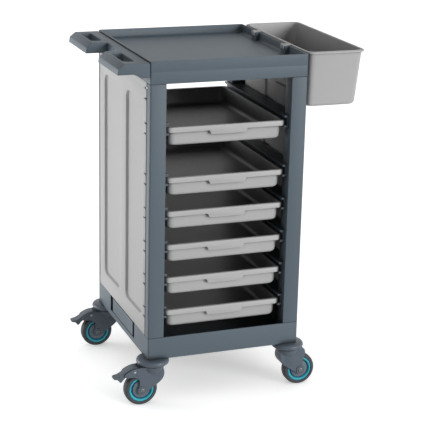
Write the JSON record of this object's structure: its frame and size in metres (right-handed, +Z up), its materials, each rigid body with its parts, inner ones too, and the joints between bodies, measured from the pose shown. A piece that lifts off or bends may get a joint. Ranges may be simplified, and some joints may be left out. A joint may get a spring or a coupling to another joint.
{
  "type": "serving trolley",
  "caption": "Moulded serving trolley on castors, with pull-out trays on runners between panelled sides, a looped push handle and a bin hooked on one side.",
  "frame": {"origin": "on the floor, under the middle of the whole object", "axes": "+X to the right as seen from the tray front, +Y to the back, +Z up"},
  "size_m": [0.762, 0.574, 1.033],
  "materials": {
    "slate_plastic": "fine textured moulding",
    "light_grey_plastic": "satin moulding",
    "dark_plastic": "matte moulding",
    "castor_plastic": "satin moulding",
    "core_plastic": "satin moulding",
    "tyre": "matte rubber",
    "steel": "plain"
  },
  "bodies": {
    "frame": {"base_frame": "slate_plastic", "castor_head_front_left": "castor_plastic", "castor_head_front_right": "castor_plastic", "castor_head_rear_left": "castor_plastic", "castor_head_rear_right": "castor_plastic", "front_left_post": "slate_plastic", "front_right_post": "slate_plastic", "handle": "slate_plastic", "handle_screws": "steel", "kingpin_nuts": "steel", "left_panel": "light_grey_plastic", "left_runner_1": "dark_plastic", "left_runner_2": "dark_plastic", "left_runner_3": "dark_plastic", "left_runner_4": "dark_plastic", "left_runner_5": "dark_plastic", "left_runner_6": "dark_plastic", "rear_left_post": "slate_plastic", "rear_right_post": "slate_plastic", "right_panel": "light_grey_plastic", "right_runner_1": "dark_plastic", "right_runner_2": "dark_plastic", "right_runner_3": "dark_plastic", "right_runner_4": "dark_plastic", "right_runner_5": "dark_plastic", "right_runner_6": "dark_plastic", "swivel_races": "steel", "top_tray": "slate_plastic"},
    "tray_1": {"tray_1": "light_grey_plastic"},
    "tray_2": {"tray_2": "light_grey_plastic"},
    "tray_3": {"tray_3": "light_grey_plastic"},
    "tray_4": {"tray_4": "light_grey_plastic"},
    "tray_5": {"tray_5": "light_grey_plastic"},
    "tray_6": {"tray_6": "light_grey_plastic"},
    "side_bin": {"side_bin": "light_grey_plastic"},
    "castor_front_left": {"castor_fork_front_left": "castor_plastic", "axle_bolt_front_left": "steel", "brake_pin_front_left": "steel"},
    "wheel_front_left": {"tyre_front_left": "tyre", "wheel_core_front_left": "core_plastic", "wheel_hub_front_left": "castor_plastic"},
    "castor_rear_left": {"castor_fork_rear_left": "castor_plastic", "axle_bolt_rear_left": "steel", "brake_pin_rear_left": "steel"},
    "wheel_rear_left": {"tyre_rear_left": "tyre", "wheel_core_rear_left": "core_plastic", "wheel_hub_rear_left": "castor_plastic"},
    "castor_front_right": {"castor_fork_front_right": "castor_plastic", "axle_bolt_front_right": "steel"},
    "wheel_front_right": {"tyre_front_right": "tyre", "wheel_core_front_right": "core_plastic", "wheel_hub_front_right": "castor_plastic"},
    "castor_rear_right": {"castor_fork_rear_right": "castor_plastic", "axle_bolt_rear_right": "steel"},
    "wheel_rear_right": {"tyre_rear_right": "tyre", "wheel_core_rear_right": "core_plastic", "wheel_hub_rear_right": "castor_plastic"},
    "pedal_front_left": {"brake_pedal_front_left": "castor_plastic"},
    "pedal_rear_left": {"brake_pedal_rear_left": "castor_plastic"}
  },
  "joints": [
    {"name": "tray_1_slide", "type": "slide", "parent": "frame", "child": "tray_1", "axis": [0, -1, 0], "range_m": [0, 0.33]},
    {"name": "tray_2_slide", "type": "slide", "parent": "frame", "child": "tray_2", "axis": [0, -1, 0], "range_m": [0, 0.33]},
    {"name": "tray_3_slide", "type": "slide", "parent": "frame", "child": "tray_3", "axis": [0, -1, 0], "range_m": [0, 0.33]},
    {"name": "tray_4_slide", "type": "slide", "parent": "frame", "child": "tray_4", "axis": [0, -1, 0], "range_m": [0, 0.33]},
    {"name": "tray_5_slide", "type": "slide", "parent": "frame", "child": "tray_5", "axis": [0, -1, 0], "range_m": [0, 0.33]},
    {"name": "tray_6_slide", "type": "slide", "parent": "frame", "child": "tray_6", "axis": [0, -1, 0], "range_m": [0, 0.33]},
    {"name": "side_bin_lift", "type": "slide", "parent": "frame", "child": "side_bin", "axis": [0, 0, 1], "range_m": [0, 0.06]},
    {"name": "castor_front_left_swivel", "type": "hinge", "parent": "frame", "child": "castor_front_left", "pos_m": [-0.258, -0.238, 0.122], "axis": [0, 0, 1], "continuous": true},
    {"name": "wheel_front_left_spin", "type": "hinge", "parent": "castor_front_left", "child": "wheel_front_left", "pos_m": [-0.296, -0.238, 0.05], "axis": [0, 1, 0], "continuous": true},
    {"name": "pedal_front_left_press", "type": "hinge", "parent": "castor_front_left", "child": "pedal_front_left", "pos_m": [-0.318, -0.238, 0.11], "axis": [0, -1, 0], "range_deg": [0, 7.5]},
    {"name": "castor_rear_left_swivel", "type": "hinge", "parent": "frame", "child": "castor_rear_left", "pos_m": [-0.258, 0.238, 0.122], "axis": [0, 0, 1], "continuous": true},
    {"name": "wheel_rear_left_spin", "type": "hinge", "parent": "castor_rear_left", "child": "wheel_rear_left", "pos_m": [-0.296, 0.238, 0.05], "axis": [0, 1, 0], "continuous": true},
    {"name": "pedal_rear_left_press", "type": "hinge", "parent": "castor_rear_left", "child": "pedal_rear_left", "pos_m": [-0.318, 0.238, 0.11], "axis": [0, -1, 0], "range_deg": [0, 7.5]},
    {"name": "castor_front_right_swivel", "type": "hinge", "parent": "frame", "child": "castor_front_right", "pos_m": [0.173, -0.238, 0.122], "axis": [0, 0, 1], "continuous": true},
    {"name": "wheel_front_right_spin", "type": "hinge", "parent": "castor_front_right", "child": "wheel_front_right", "pos_m": [0.211, -0.238, 0.05], "axis": [0, 1, 0], "continuous": true},
    {"name": "castor_rear_right_swivel", "type": "hinge", "parent": "frame", "child": "castor_rear_right", "pos_m": [0.173, 0.238, 0.122], "axis": [0, 0, 1], "continuous": true},
    {"name": "wheel_rear_right_spin", "type": "hinge", "parent": "castor_rear_right", "child": "wheel_rear_right", "pos_m": [0.211, 0.238, 0.05], "axis": [0, 1, 0], "continuous": true}
  ]
}
